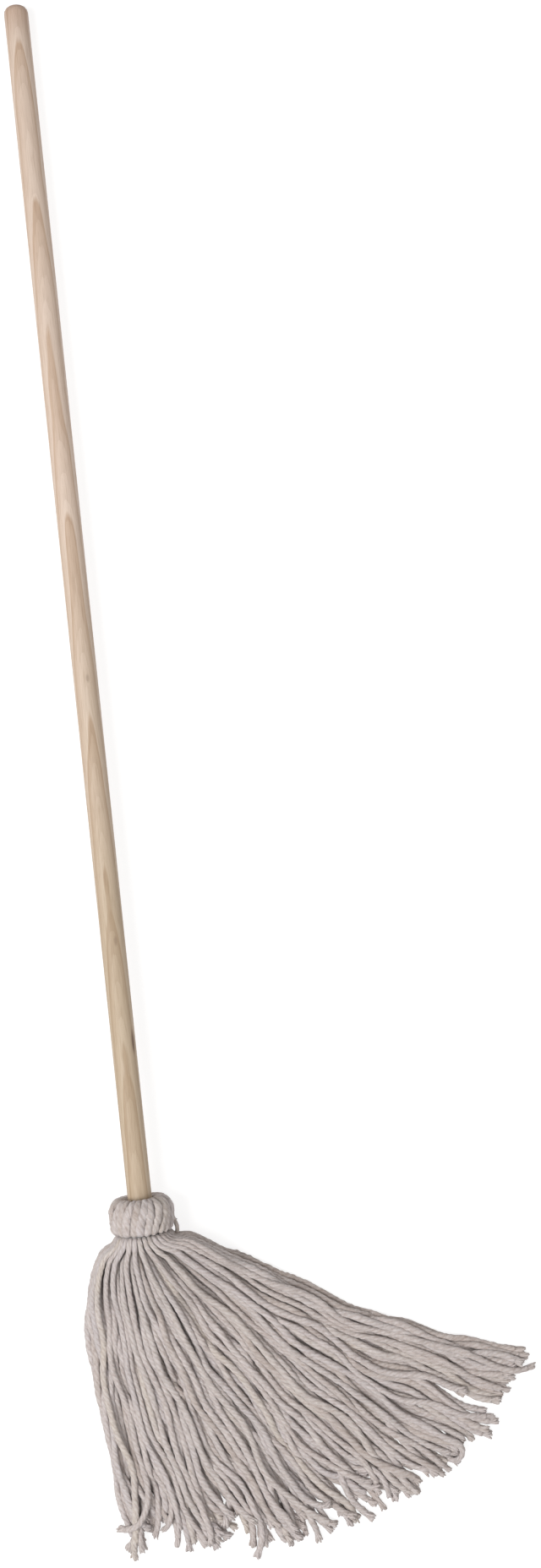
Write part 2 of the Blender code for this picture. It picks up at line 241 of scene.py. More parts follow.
# Collar: its yarn is folded back out of the lay, over the rim, down the belly and in to the crease.
# Profiles hold (radius, along, half thickness)
COLLAR_STRANDS = 24
FOLDS = 12
COLLAR_SLANT = 0.36
COLLAR_MIDDLE = (0.0215, 0.0165)
COLLAR_WIDTH = (1.15, 1.35)
COLLAR_JITTER, COLLAR_LIFT = 0.18, (-0.0006, 0.0005)
COLLAR_LUMPS, COLLAR_LUMP_WAVES = 0.0003, (2, 0.4, 0.9)
COLLAR_PROFILE = (
    (0.0150, 0.0238, 0.0024),
    (0.0149, 0.0258, 0.0026),
    (0.0161, 0.0275, 0.0028),
    (0.0193, 0.0285, 0.0030),
    (0.0233, 0.0279, 0.0031),
    (0.0268, 0.0253, 0.0032),
    (0.0288, 0.0210, 0.0033),
    (0.0295, 0.0156, 0.0034),
    (0.0294, 0.0102, 0.0034),
    (0.0288, 0.0050, 0.0033),
    (0.0279, 0.0006, 0.0030),
    (0.0268, -0.0008, 0.0026),
    (0.0255, 0.0000, 0.0022),
)
# (radius, along) of the strand beside the collar
LOOSE_END = ((0.0292, 0.0090), (0.0312, 0.0055), (0.0328, 0.0010), (0.0334, -0.0045), (0.0325, -0.0095))
LOOSE_END_ANGLE = math.radians(-8)
LOOSE_END_RADIUS = 0.0021

# Yarn under the inner tie, along the handle's end, and yarn squeezed by the outer tie
LAY_STRANDS = 20
LAY_PROFILE = (
    (0.0152, 0.0235, 0.0026),
    (0.0155, 0.0210, 0.0028),
    (0.0152, 0.0185, 0.0026),
    (0.0141, 0.0163, 0.0015),
    (0.0141, 0.0077, 0.0015),
    (0.0152, 0.0045, 0.0026),
    (0.0155, 0.0010, 0.0028),
)
WAIST_PROFILE = (
    (0.0212, 0.0030, 0.0020),
    (0.0212, 0.0010, 0.0020),
    (0.0212, -0.0012, 0.0020),
)
RING_CROWDING = 1.06
RING_WIDTH = (0.95, 1.12)
RING_JITTER, RING_LIFT = 0.12, (-0.0003, 0.0005)
RING_MIDDLE = 0.45
# The strands of the head sway round it by this angle, with these waves down each strand
HEAD_SWAY, HEAD_WAVES = 0.03, (2, 0.6, 1.4)

# Colours, linear
BLACK = (0.0, 0.0, 0.0)
WHITE = (1.0, 1.0, 1.0)
STRAND_TONES = (
    (0.00, (0.497, 0.436, 0.406)),
    (0.25, (0.553, 0.500, 0.485)),
    (0.50, (0.588, 0.537, 0.528)),
    (0.75, (0.553, 0.512, 0.515)),
    (1.00, (0.596, 0.540, 0.490)),
)
STRAND_PATCHES = (0.601, 0.553, 0.536)
# Painted shade in the grooves where two plies meet
PLY_GROOVE_SHADE = (0.88, 0.85, 0.83)
PALE_WOOD, PALE_LATE_WOOD = (0.650, 0.535, 0.450), (0.500, 0.365, 0.270)
TAN_WOOD, TAN_LATE_WOOD = (0.500, 0.405, 0.300), (0.385, 0.285, 0.190)
DARKER_END_WOOD = (0.80, 0.72, 0.68)
MARK_WOOD = (0.16, 0.10, 0.065)
ZINC, PALE_ZINC, STAINED_ZINC = (0.22, 0.22, 0.22), (0.32, 0.32, 0.32), (0.13, 0.12, 0.11)

# Growth rings of the wood: the pith lies below the handle and slopes a little
PITH_DEPTH = 0.052
PITH_SLOPE = -0.030
PITH_WANDER, PITH_MIDDLE = 0.030, 0.42
RING_SPACING, FINE_RING_SPACING = 0.0052, 0.0011
# The wood is darker towards its rounded end: distances up the handle from the crease
DARKER_END_FROM, DARKER_END_TO = 1.175, 1.215
# Small knots and a dark check: (side, along, half width, half length, strength)
WOOD_MARKS = (
    (0.0030, 0.543, 0.0024, 0.006, 0.35),
    (0.0035, 0.284, 0.0024, 0.007, 0.35),
    (0.0098, 0.184, 0.0018, 0.017, 0.90),
)
SHARP_EDGE = math.radians(40)

# Camera: above this place from the crease, this high over it, with this length of floor in view
AIM = (0.1705, 0.4209, 0.0)
CAMERA_HEIGHT = 2.0
CAMERA_LEAN = math.radians(-6.05)
VIEW_HEIGHT = 1.5405
SENSOR = 36.0

# Studio: the lights are (place from the middle of the mop, width, power)
FLOOR_SIZE, FLOOR_Z = 400.0, -0.0005
FLOOR_GREY, FLOOR_GLOW = 0.30, 0.80
BACKDROP_RADIUS, BACKDROP_GLOW = 80.0, 0.90
WORLD_COLOUR, WORLD_STRENGTH = (1.0, 0.965, 0.945, 1.0), 0.36
KEY_LIGHT = ((-1.7, -0.3, 2.8), 2.0, 96)
FILL_LIGHT = ((1.1, -1.5, 2.4), 2.4, 22)


def head_point(radius, angle, along):
    """World point from cylindrical coordinates about the handle's axis; angle 0 is +X, 90 degrees is up."""
    radius, angle, along = (np.asarray(value, float)[..., None] for value in (radius, angle, along))
    return CREASE + AXIS * along + radius * (SIDE * np.cos(angle) + UP * np.sin(angle))


def smooth(x):
    x = np.clip(x, 0.0, 1.0)
    return x * x * (3 - 2 * x)


def eased(x, start, length):
    """0 before start, 1 after start + length, and smooth between them."""
    return smooth((x - start) / length)


def unit(vectors):
    return vectors / np.maximum(np.linalg.norm(vectors, axis=-1, keepdims=True), 1e-9)


def arc_length(points):
    steps = np.linalg.norm(np.diff(points, axis=0), axis=1)
    return np.concatenate([[0.0], np.cumsum(steps)])


def resampled(points, step):
    """Points along a smooth curve through the given ones, about step apart."""
    length = arc_length(points)
    count = max(int(round(length[-1] / step)), 3)
    wanted = np.linspace(0.0, length[-1], count + 1)
    place = np.clip(np.searchsorted(length, wanted, "right") - 1, 0, len(points) - 2)
    span = (length[place + 1] - length[place])[:, None]
    share = (wanted - length[place])[:, None] / span
    slopes = np.gradient(points, length, axis=0)
    a, b = points[place], points[place + 1]
    da, db = slopes[place] * span, slopes[place + 1] * span
    s2, s3 = share**2, share**3
    return a * (2 * s3 - 3 * s2 + 1) + da * (s3 - 2 * s2 + share) + b * (3 * s2 - 2 * s3) + db * (s3 - s2)


# Yarn as meshes


# A strand's points, lengths, directions across it, twist and half sizes, its place in the texture and tone
Strand = namedtuple("Strand", "points length across up twist wide tall start tone")


class YarnMesh:
    """Collects closed tubes for one object, with each point's place in its strand for the material."""

    def __init__(self):
        self.points, self.quads, self.tris = [], [], []
        self.fibre, self.tint = [], []
        self.count = 0

    def tube(self, rings, fibre, tint):
        """Skins rings, an array of (ring, place round it, xyz), and closes both ends with a domed fan."""
        n, m = rings.shape[:2]
        index = self.count + np.arange(n * m).reshape(n, m)
        after = np.roll(index, -1, axis=1)
        self.quads.append(np.stack([index[:-1], after[:-1], after[1:], index[1:]], -1).reshape(-1, 4))
        ends = []
        for ring, before in ((0, 1), (n - 1, n - 2)):
            outward = rings[ring].mean(0) - rings[before].mean(0)
            ends.append(rings[ring].mean(0) + outward * END_DOME)
        first, last = self.count + n * m, self.count + n * m + 1
        self.tris.append(np.stack([after[0], index[0], np.full(m, first)], -1))
        self.tris.append(np.stack([index[-1], after[-1], np.full(m, last)], -1))
        self.points += [rings.reshape(-1, 3), np.array(ends)]
        self.fibre += [fibre.reshape(-1, 3), fibre[0].mean(0)[None], fibre[-1].mean(0)[None]]
        self.tint.append(np.full(n * m + 2, tint))
        self.count += n * m + 2

    def to_object(self, name, look):
        mesh = bpy.data.meshes.new(name)
        faces = np.concatenate(self.quads).tolist() + np.concatenate(self.tris).tolist()
        mesh.from_pydata(np.concatenate(self.points).tolist(), [], faces)
        fibre = mesh.attributes.new("fibre", "FLOAT_VECTOR", "POINT")
        fibre.data.foreach_set("vector", np.concatenate(self.fibre).astype(np.float32).ravel())
        tint = mesh.attributes.new("tint", "FLOAT", "POINT")
        tint.data.foreach_set("value", np.concatenate(self.tint).astype(np.float32))
        mesh.shade_smooth()
        mesh.materials.append(look)
        obj = bpy.data.objects.new(name, mesh)
        bpy.context.scene.collection.objects.link(obj)
        return obj


def lobed(angles):
    """Radius of the outline round the plies, as a share of the strand's, by angle in the plies' frame."""
    step = 2 * math.pi / PLIES
    off = (angles + step / 2) % step - step / 2
    ply_radius = 1 - PLY_OFFSET
    return PLY_OFFSET * np.cos(off) + np.sqrt(ply_radius**2 - (PLY_OFFSET * np.sin(off)) ** 2)


def directions_across(points, up_hint=None):
    """Two steady directions across the curve, the second near up_hint where one is given."""
    tangent = unit(np.gradient(points, axis=0))
    if up_hint is not None:
        across = unit(np.cross(tangent, up_hint))
        return across, np.cross(across, tangent)
    across = np.empty_like(points)
    start = np.cross(tangent[0], (0.0, 0.0, 1.0))
    across[0] = unit(start if np.linalg.norm(start) > 1e-3 else np.array((1.0, 0.0, 0.0)))
    for i in range(1, len(points)):
        carried = across[i - 1] - tangent[i] * (across[i - 1] @ tangent[i])
        across[i] = unit(carried)
    return across, np.cross(across, tangent)


def wobble(length, waves, low, high):
    """A smooth random run of values of about unit size along length."""
    total = np.zeros_like(length)
    for _ in range(waves):
        wave = RNG.uniform(low, high)
        total += np.sin(2 * math.pi * length / wave + RNG.uniform(0, 2 * math.pi))
    return total / math.sqrt(waves)


def soft_noise(rows, columns):
    """Random values of about unit size, smoothed a little along the rows and round the columns."""
    values = RNG.normal(size=(rows, columns))
    values = values + np.roll(values, 1, 1) + np.roll(values, -1, 1)
    values[1:-1] = values[:-2] * 0.5 + values[1:-1] + values[2:] * 0.5
    return values / values.std()


def texture_places(radius, angles, along):
    """Places of a straightened tube's points: x and y round it, z along it."""
    shape = np.broadcast_shapes(angles.shape, along.shape)
    parts = (radius * np.cos(angles), radius * np.sin(angles), along)
    return np.stack([np.broadcast_to(part, shape) for part in parts], -1)


def rings_of(strand, part, x, y):
    """World points of the rings whose points lie x across and y up from this part of the strand."""
    across, up = strand.across[part][:, None], strand.up[part][:, None]
    return strand.points[part][:, None] + x[..., None] * across + y[..., None] * up


def add_strand(yarn, path, half_across, half_up, up_hint=None, tuft=True):
    """One strand of twisted plies along path. The half sizes are numbers or one for each path point."""
    old_length = arc_length(path)
    points = resampled(path, RING_STEP)
    length = arc_length(points)
    place = length / length[-1] * old_length[-1]
    wide = np.interp(place, old_length, np.broadcast_to(half_across, len(path)))
    tall = np.interp(place, old_length, np.broadcast_to(half_up, len(path)))
    hint = None
    if up_hint is not None:
        hint = np.stack([np.interp(place, old_length, up_hint[:, i]) for i in range(3)], -1)
    across, up = directions_across(points, hint)
    slub = 1 + SLUB * wobble(length, *SLUB_WAVES)
    pitch = TWIST_PITCH * RNG.uniform(*PITCH_SPREAD)
    twist = 2 * math.pi * length / pitch + RNG.uniform(0, 2 * math.pi)
    twist = twist + TWIST_WANDER * wobble(length, *TWIST_WAVES)
    start, tone = RNG.uniform(0, TEXTURE_LENGTH), RNG.uniform(0, 1)
    strand = Strand(points, length, across, up, twist, wide * slub, tall * slub, start, tone)
    body = len(points)
    if tuft:
        body = max(int(np.searchsorted(length, length[-1] - TUFT_LENGTH * TUFT_OVERLAP)), 3)
    add_plies(yarn, strand, body, float(np.mean(wide + tall) / 2))
    if tuft:
        add_tuft(yarn, strand)


def add_plies(yarn, strand, body, mean_radius):
    """The strand as one tube with a groove between each two plies, up to its point number body."""
    around = 2 * math.pi * np.arange(ROUND) / ROUND
    outline = lobed(around)
    angle = around[None] + strand.twist[:body, None]
    x = strand.wide[:body, None] * outline * np.cos(angle)
    y = strand.tall[:body, None] * outline * np.sin(angle)
    lumps = 1 + LUMPS * soft_noise(body, ROUND)
    rings = rings_of(strand, slice(body), x * lumps, y * lumps)
    along = strand.start + strand.length[:body, None]
    yarn.tube(rings, texture_places(mean_radius, around, along), strand.tone)


def add_tuft(yarn, strand):
    """The cut end: the plies come apart into yarns, which flare out and are cut at about one length."""
    length, twist = strand.length, strand.twist
    first = int(np.searchsorted(length, length[-1] - TUFT_LENGTH))
    around = 2 * math.pi * np.arange(TUFT_ROUND) / TUFT_ROUND
    for k in range(TUFT_YARNS):
        out = math.sqrt((k + 0.5) / TUFT_YARNS)
        bearing = k * math.pi * GOLDEN_SHARE + RNG.uniform(-BEARING_JITTER, BEARING_JITTER)
        i = np.arange(first, len(length) - RNG.randint(0, 2))
        share = (length[i] - length[first]) / TUFT_LENGTH
        flare = TUFT_CORE + RNG.uniform(*TUFT_FLARE) * share**FLARE_POWER
        curl = RNG.normal(size=(2, 1)) * TUFT_CURL * share**2
        turn = bearing + TUFT_TWIST * (twist[i] - twist[i[0]])
        centre_x = out * flare * np.cos(turn) + curl[0]
        centre_y = out * flare * np.sin(turn) + curl[1]
        girth = RNG.uniform(*TUFT_GIRTH) * (1 + GIRTH_GROWTH * share)
        girth[-1] *= GIRTH_AT_TIP
        x = (centre_x[:, None] + girth[:, None] * np.cos(around)) * strand.wide[i][:, None]
        y = (centre_y[:, None] + girth[:, None] * np.sin(around)) * strand.tall[i][:, None]
        rings = rings_of(strand, i, x, y)
        sink = np.minimum(rings[..., 2].min(1) - FLOOR_GAP, 0)
        rings[..., 2] -= sink[:, None]
        along = strand.start + k + length[i][:, None]
        yarn.tube(rings, texture_places(TUFT_FIBRE_RADIUS, around + k, along), strand.tone)


# Skirt


def bezier(control, t):
    """Points of cubic curves. control is (curves, 4, 2) and t is (curves, samples)."""
    t = t[..., None]
    a, b, c, d = (control[:, None, i] for i in range(4))
    r = 1 - t
    return a * r**3 + b * (3 * r * r * t) + c * (3 * r * t * t) + d * t**3


def turned_end(plan, turn, turning):
    """The path with its last part bent sideways by turn radians, keeping the length of each step."""
    length = arc_length(plan)
    steps = np.diff(plan, axis=0)
    share = np.clip((length[1:] - length[-1] + turning) / turning, 0, 1)
    angle = turn * share**TURN_POWER
    cos, sin = np.cos(angle), np.sin(angle)
    turned = np.stack([steps[:, 0] * cos - steps[:, 1] * sin, steps[:, 0] * sin + steps[:, 1] * cos], -1)
    return plan[0] + np.concatenate([np.zeros((1, 2)), np.cumsum(turned, axis=0)])


def flow_paths(across, reach, waves, turns):
    """Plan points of strands that follow the fan, closer together near the crease.

    Gives the points, the distance of each from the crease and that distance as a share of the flow line.
    """
    lines = np.array(FLOW_LINES)
    place = np.clip(across, 0, 1) * (len(lines) - 1)
    low = np.minimum(place.astype(int), len(lines) - 2)
    share = (place - low)[:, None, None]
    control = lines[low] * (1 - share) + lines[low + 1] * share
    fine = np.broadcast_to(np.linspace(0, 1, CURVE_SAMPLES), (len(across), CURVE_SAMPLES))
    spacing = np.linspace(0, 1, BALLS) ** BALL_CROWDING
    plans, distances, shares = [], [], []
    for k, curve in enumerate(bezier(control, fine)):
        length = arc_length(curve)
        wanted = spacing * length[-1] * reach[k]
        plan = np.stack([np.interp(wanted, length, curve[:, i]) for i in range(2)], -1)
        over = np.maximum(wanted - length[-1], 0)[:, None]
        plan = plan + over * unit(curve[-1] - curve[-END_SAMPLES])
        along = unit(np.gradient(plan, axis=0))
        normal = np.stack([-along[:, 1], along[:, 0]], -1)
        plan = plan + normal * waves(k, wanted, wanted / length[-1])[:, None]
        plans.append(turned_end(plan, *turns[k]))
        distances.append(wanted)
        shares.append(wanted / length[-1])
    return np.array(plans), np.array(distances), np.array(shares)


def crease_places():
    """Where strands pass the outer tie: (turn, radius there, radius below it, whether in the ring)."""
    ring_turn = 2 * math.pi * (np.arange(RING_STRANDS) + 0.5) / RING_STRANDS
    inner = STRANDS - RING_STRANDS
    order = (np.arange(inner) + 0.5) / inner
    fill_turn = order * inner * math.pi * GOLDEN_SHARE
    tied = np.sqrt(FILL_INNER**2 + order * (FILL_OUTER**2 - FILL_INNER**2))
    freed = DISC_OUTER * np.sqrt(order)
    turn = np.concatenate([ring_turn, fill_turn])
    at_tie = np.concatenate([np.full(RING_STRANDS, RING_RADIUS), tied])
    below = np.concatenate([np.full(RING_STRANDS, SHOULDER[-1][0]), freed])
    return turn, at_tie, below, np.arange(STRANDS) < RING_STRANDS


def deal_to_locks(side, up):
    """(column, layer, share of the way across the fan, share of the way up the pile) of each strand."""
    column = np.empty(STRANDS, int)
    column[np.argsort(side, kind="stable")] = np.arange(STRANDS) // (STRANDS // COLUMNS)
    layer = np.empty(STRANDS, int)
    across = np.empty(STRANDS)
    height = np.empty(STRANDS)
    for c in range(COLUMNS):
        members = np.flatnonzero(column == c)
        by_height = members[np.argsort(up[members], kind="stable")]
        height[by_height] = (np.arange(len(members)) + 0.5) / len(members)
        for level in range(len(LAYERS)):
            group = by_height[level * STRANDS_A_LOCK : (level + 1) * STRANDS_A_LOCK]
            layer[group] = level
            ordered = group[np.argsort(side[group], kind="stable")]
            across[ordered] = (c + (np.arange(STRANDS_A_LOCK) + STAGGER[level]) / STRANDS_A_LOCK) / COLUMNS
    return column, layer, across, height


def swaying(across, layer):
    """Sideways sway of the strands, partly shared with neighbours: a function of strand and distance."""
    count = len(across)
    shared = []
    for size, low, high, spread in SHARED_SWAYS:
        for level in range(len(LAYERS)):
            turns = RNG.uniform(*WAVES_SPREAD) * spread
            shared.append((level, size, RNG.uniform(low, high), turns, RNG.uniform(0, ANY_PHASE)))
    own = []
    for size, low, high in OWN_SWAYS:
        own.append((size, RNG.uniform(low, high, count), RNG.uniform(0, ANY_PHASE, count)))

    def sway(k, distance, t):
        total = np.zeros_like(distance)
        for level, size, wave, turns, phase in shared:
            if level == layer[k]:
                total += size * np.sin(2 * math.pi * (distance / wave + turns * across[k]) + phase)
        calm = 1.0 if layer[k] == UPPER else LOWER_CALM
        for size, wave, phase in own:
            total += calm * size * np.sin(2 * math.pi * distance / wave[k] + phase[k])
        return total * (SWAY_AT_CREASE + SWAY_GROWTH * t) * eased(distance, *SWAY_EASE)

    return sway


def drawn_to_tufts(across, layer, at_edge):
    """How far each strand reaches, as a share of its flow line, and how far its end is drawn sideways."""
    centres, reaches, pulls, notches = np.array(TUFTS).T
    strayed = across + RNG.normal(size=STRANDS) * np.where(at_edge, 0, STRAY)
    nearest = np.abs(strayed[:, None] - centres).argmin(1)
    off_centre = np.abs(strayed - centres[nearest]) / NOTCH_WIDTH
    uneven = RNG.normal(size=STRANDS) * np.where(at_edge, EDGE_UNEVEN_ENDS, UNEVEN_ENDS)
    reach = reaches[nearest] * (1 + uneven) - notches[nearest] * smooth(off_centre)
    reach -= np.where(layer == UPPER, 0.0, LOWER_SHORTER)
    gather = (centres[nearest] - across) * pulls[nearest] * RNG.uniform(*PULL_SPREAD, STRANDS)
    gather *= np.where(layer == UPPER, 1.0, LOWER_CALM)
    return reach, gather


def drawn_to_groups(across, layer):
    """How far each strand of the upper layer is drawn towards the middle of its group."""
    edges = (np.arange(GROUPS) + RNG.uniform(-GROUP_JITTER, GROUP_JITTER, GROUPS)) / GROUPS
    group = np.clip(np.searchsorted(edges, across, "right") - 1, 0, GROUPS - 2)
    return ((edges[group] + edges[group + 1]) / 2 - across) * GROUP_PULL * layer


def lay_on_floor(across, layer, height):
    """The strands' courses over the floor, before they settle: (points, distances from the crease)."""
    across = across + EDGE_CROWDING * across**CROWDING_POWER * (1 - across)
    at_edge = across > TUFTS[-3][0]
    reach, gather = drawn_to_tufts(across, layer, at_edge)
    close_up = drawn_to_groups(across, layer)
    turns = np.stack([RNG.normal(size=STRANDS) * END_TURN, np.full(STRANDS, END_TURN_LENGTH)], -1)
    turns[at_edge, 0] *= EDGE_END_TURN
    lift = np.zeros(STRANDS)
    for place, hook_reach, degrees, turning in HOOKS:
        on_top = (layer == UPPER) & (height > TOP_OF_PILE)
        k = np.argmin(np.abs(across - place) + np.where(on_top, 0, 1))
        reach[k], gather[k], turns[k] = hook_reach, 0.0, (math.radians(degrees), turning)
        lift[k] = HOOK_LIFT
    sway = swaying(across, layer)

    def waves(k, distance, t):
        bunch = gather[k] * eased(t, *GATHER_EASE) + close_up[k] * eased(t, *GROUP_EASE)
        return sway(k, distance, t) + bunch * FAN_WIDTH * t

    plan, distance, share = flow_paths(across, reach, waves, turns)
    pile = PILE_END + PILE_EXTRA * (1 - np.clip(share, 0, 1)) ** PILE_POWER
    rise = pile * height[:, None] + STRAND_RADIUS + lift[:, None] * eased(share, *HOOK_EASE)
    return np.concatenate([plan, rise[..., None]], -1) + CREASE * (1, 1, 0), distance


def lay_out():
    """Starting paths of all the strands: (points, half sizes, distances from the crease, column, layer)."""
    turn, at_tie, below, on_ring = crease_places()
    column, layer, across, height = deal_to_locks(below * np.cos(turn), below * np.sin(turn))
    on_floor, distance = lay_on_floor(across, layer, height)
    on_ring = on_ring[:, None]
    puff = eased(distance, *PUFF_EASE)
    shoulder = np.array(SHOULDER)
    round_it = arc_length(shoulder)
    past = np.maximum(distance - round_it[-1], 0)
    radius = at_tie[:, None] + (below - at_tie)[:, None] * puff
    radius = np.where(on_ring, np.interp(distance, round_it, shoulder[:, 0]), radius)
    along = np.where(on_ring, np.interp(distance, round_it, shoulder[:, 1]) - past, START_ALONG - distance)
    tied = head_point(radius, turn[:, None], along)
    sideways, down = eased(distance, *SPREAD_EASE), eased(distance, *SINK_EASE)
    leave = np.stack([sideways, sideways, down], -1)
    points = tied * (1 - leave) + on_floor * leave
    puff = np.where(on_ring, eased(distance, *RING_PUFF_EASE), puff)
    tight = np.where(on_ring, RING_HALF, FILL_HALF)
    loose = np.where(on_ring, SHOULDER_HALF, DISC_HALF)
    full = STRAND_RADIUS * RNG.uniform(*RADIUS_SPREAD, STRANDS)[:, None]
    half = tight + (loose - tight) * puff + (full - loose) * eased(distance, *THICKEN_EASE)
    return points, half, distance, column, layer


def half_shell():
    """Half of the 26 neighbouring cells, and the cell itself: each pair of cells comes once."""
    steps = [(x, y, z) for x in (-1, 0, 1) for y in (-1, 0, 1) for z in (-1, 0, 1)]
    return [step for step in steps if step >= (0, 0, 0)]


def close_pairs(points, reach):
    """Index pairs of points that lie in the same or in neighbouring cells of size reach."""
    cell = np.floor(points / reach).astype(np.int64)
    cell -= cell.min(0) - 1
    size = cell.max(0) + 2
    key = (cell[:, 0] * size[1] + cell[:, 1]) * size[2] + cell[:, 2]
    order = np.argsort(key, kind="stable")
    key = key[order]
    firsts, seconds = [], []
    for x, y, z in half_shell():
        shift = (x * size[1] + y) * size[2] + z
        low = np.searchsorted(key, key + shift, "left")
        high = np.searchsorted(key, key + shift, "right")
        if shift == 0:
            low = np.arange(len(key)) + 1
        counts = high - low
        first = np.repeat(np.arange(len(key)), counts)
        second = np.repeat(low - np.cumsum(counts) + counts, counts) + np.arange(counts.sum())
        firsts.append(order[first])
        seconds.append(order[second])
    return np.concatenate(firsts), np.concatenate(seconds)


def pushed_apart(balls, radius, first, second):
    """The balls after each touching pair has been pushed apart, less to the side than up and down."""
    gap = balls[second] - balls[first]
    between = np.linalg.norm(gap, axis=1)
    wanted = (radius[first] + radius[second]) * SOFTNESS
    touching = between < wanted
    a, b = first[touching], second[touching]
    push = gap[touching] / np.maximum(between[touching], 1e-6)[:, None]
    push = push * ((wanted - between)[touching] * 0.5)[:, None]
    push[:, :2] *= SIDE_PUSH
    count = len(balls)
    touches = np.maximum(np.bincount(np.concatenate([a, b]), minlength=count), 1)
    moved = [np.bincount(b, push[:, i], count) - np.bincount(a, push[:, i], count) for i in range(3)]
    return balls + np.stack(moved, -1) / touches[:, None] ** TOUCH_POWER


def settle(points, half, distance):
    """Drops the strands on the floor and on each other, with stiffness along them and floor friction."""
    home = points.copy()
    hold = (HOLD * (1 - eased(distance, *HOLD_EASE)))[..., None]
    hold = hold + FRICTION * np.array((1.0, 1.0, 0.0)) * (1 - hold)
    weight = eased(distance, *DROP_EASE)
    bend = points[:, 1:-1] - (points[:, :-2] + points[:, 2:]) / 2
    bend[..., 2] *= 1 - weight[:, 1:-1]
    strand = np.repeat(np.arange(len(points)), BALLS)
    radius = half.reshape(-1)
    reach = 2 * radius.max() * SEARCH_MARGIN
    for step in range(SETTLE_ROUNDS):
        points[..., 2] -= weight * DROP * (1 - DROP_FADE * step / SETTLE_ROUNDS)
        middle = (points[:, :-2] + points[:, 2:]) / 2 + bend
        points[:, 1:-1] += (middle - points[:, 1:-1]) * BEND_STIFFNESS
        balls = points.reshape(-1, 3)
        if step % ROUNDS_A_SEARCH == 0:
            first, second = close_pairs(balls, reach)
            apart = strand[first] != strand[second]
            first, second = first[apart], second[apart]
        points = pushed_apart(balls, radius, first, second).reshape(points.shape)
        points += (home - points) * hold
        points[..., 2] = np.maximum(points[..., 2], half)
    return points


def make_skirt(look):
    points, half, distance, column, layer = lay_out()
    points = settle(points, half, distance)
    for level, layer_name in enumerate(LAYERS):
        for c in range(COLUMNS):
            yarn = YarnMesh()
            for k in np.flatnonzero((column == c) & (layer == level)):
                flat = RNG.uniform(*FLATNESS)
                add_strand(yarn, points[k], half[k] * flat, half[k] / flat)
            obj = yarn.to_object(f"{layer_name}_yarn_{c + 1:02d}", look)
            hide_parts(f"{layer_name}_lock_{c + 1:02d}")
            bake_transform(obj)
            if layer_name == "lower" and c == COLUMNS // 2:
                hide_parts("neck_yarn")


# Head


def read_profile(profile):
    """(radius, along, half thickness, share of the way down it) of a profile's points."""
    radius, along, half = np.array(profile).T
    progress = arc_length(np.stack([radius, along], -1))
    return radius, along, half, progress / progress[-1]


def ring_of_strands(name, node, count, profile, look, start=0.0):
    """Strands side by side round the handle, in place of a node."""
    yarn = YarnMesh()
    radius, along, half, progress = read_profile(profile)
    for k in range(count):
        angle = start + 2 * math.pi * (k + RNG.uniform(-RING_JITTER, RING_JITTER)) / count
        angle = angle + HEAD_SWAY * wobble(progress, *HEAD_WAVES) * smooth(progress * 3)
        lift = RNG.uniform(*RING_LIFT)
        path = head_point(radius + lift, angle, along)
        width = math.pi * radius / count * RING_CROWDING * RNG.uniform(*RING_WIDTH)
        inside = head_point(RING_MIDDLE * radius.mean(), angle, along.mean())
        add_strand(yarn, path, width, half, up_hint=unit(path - inside), tuft=False)
    obj = yarn.to_object(name, look)
    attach(obj, "handle")
    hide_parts(node)


def make_collar(look):
    """The yarn folded back, in one piece for each fold, with the loose end in the last one."""
    each = COLLAR_STRANDS // FOLDS
    for fold in range(FOLDS):
        yarn = YarnMesh()
        for k in range(each):
            add_collar_strand(yarn, fold * each + k)
        if fold == FOLDS - 1:
            add_loose_end(yarn)
        obj = yarn.to_object(f"collar_yarn_{fold + 1:02d}", look)
        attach(obj, "handle")
        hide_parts(f"collar_fold_{fold + 1:02d}")


def add_collar_strand(yarn, k):
    radius, along, half, progress = read_profile(COLLAR_PROFILE)
    angle = 2 * math.pi * (k + 0.5 + RNG.uniform(-COLLAR_JITTER, COLLAR_JITTER)) / COLLAR_STRANDS
    sway = COLLAR_SLANT * (progress - 0.5) + HEAD_SWAY * wobble(progress, *HEAD_WAVES)
    lift = RNG.uniform(*COLLAR_LIFT) + COLLAR_LUMPS * wobble(progress, *COLLAR_LUMP_WAVES)
    path = head_point(radius + lift, angle + sway, along)
    middle = head_point(COLLAR_MIDDLE[0], angle + sway, COLLAR_MIDDLE[1])
    width = math.pi * radius / COLLAR_STRANDS * RNG.uniform(*COLLAR_WIDTH)
    add_strand(yarn, path, width, half, up_hint=unit(path - middle), tuft=False)


def add_loose_end(yarn):
    """The one strand that wasn't folded into the collar: it runs down outside it and into the skirt."""
    radius, along = np.array(LOOSE_END).T
    path = head_point(radius, LOOSE_END_ANGLE, along)
    add_strand(yarn, path, LOOSE_END_RADIUS, LOOSE_END_RADIUS, tuft=False)


# Materials


def grey(value):
    return (value, value, value)


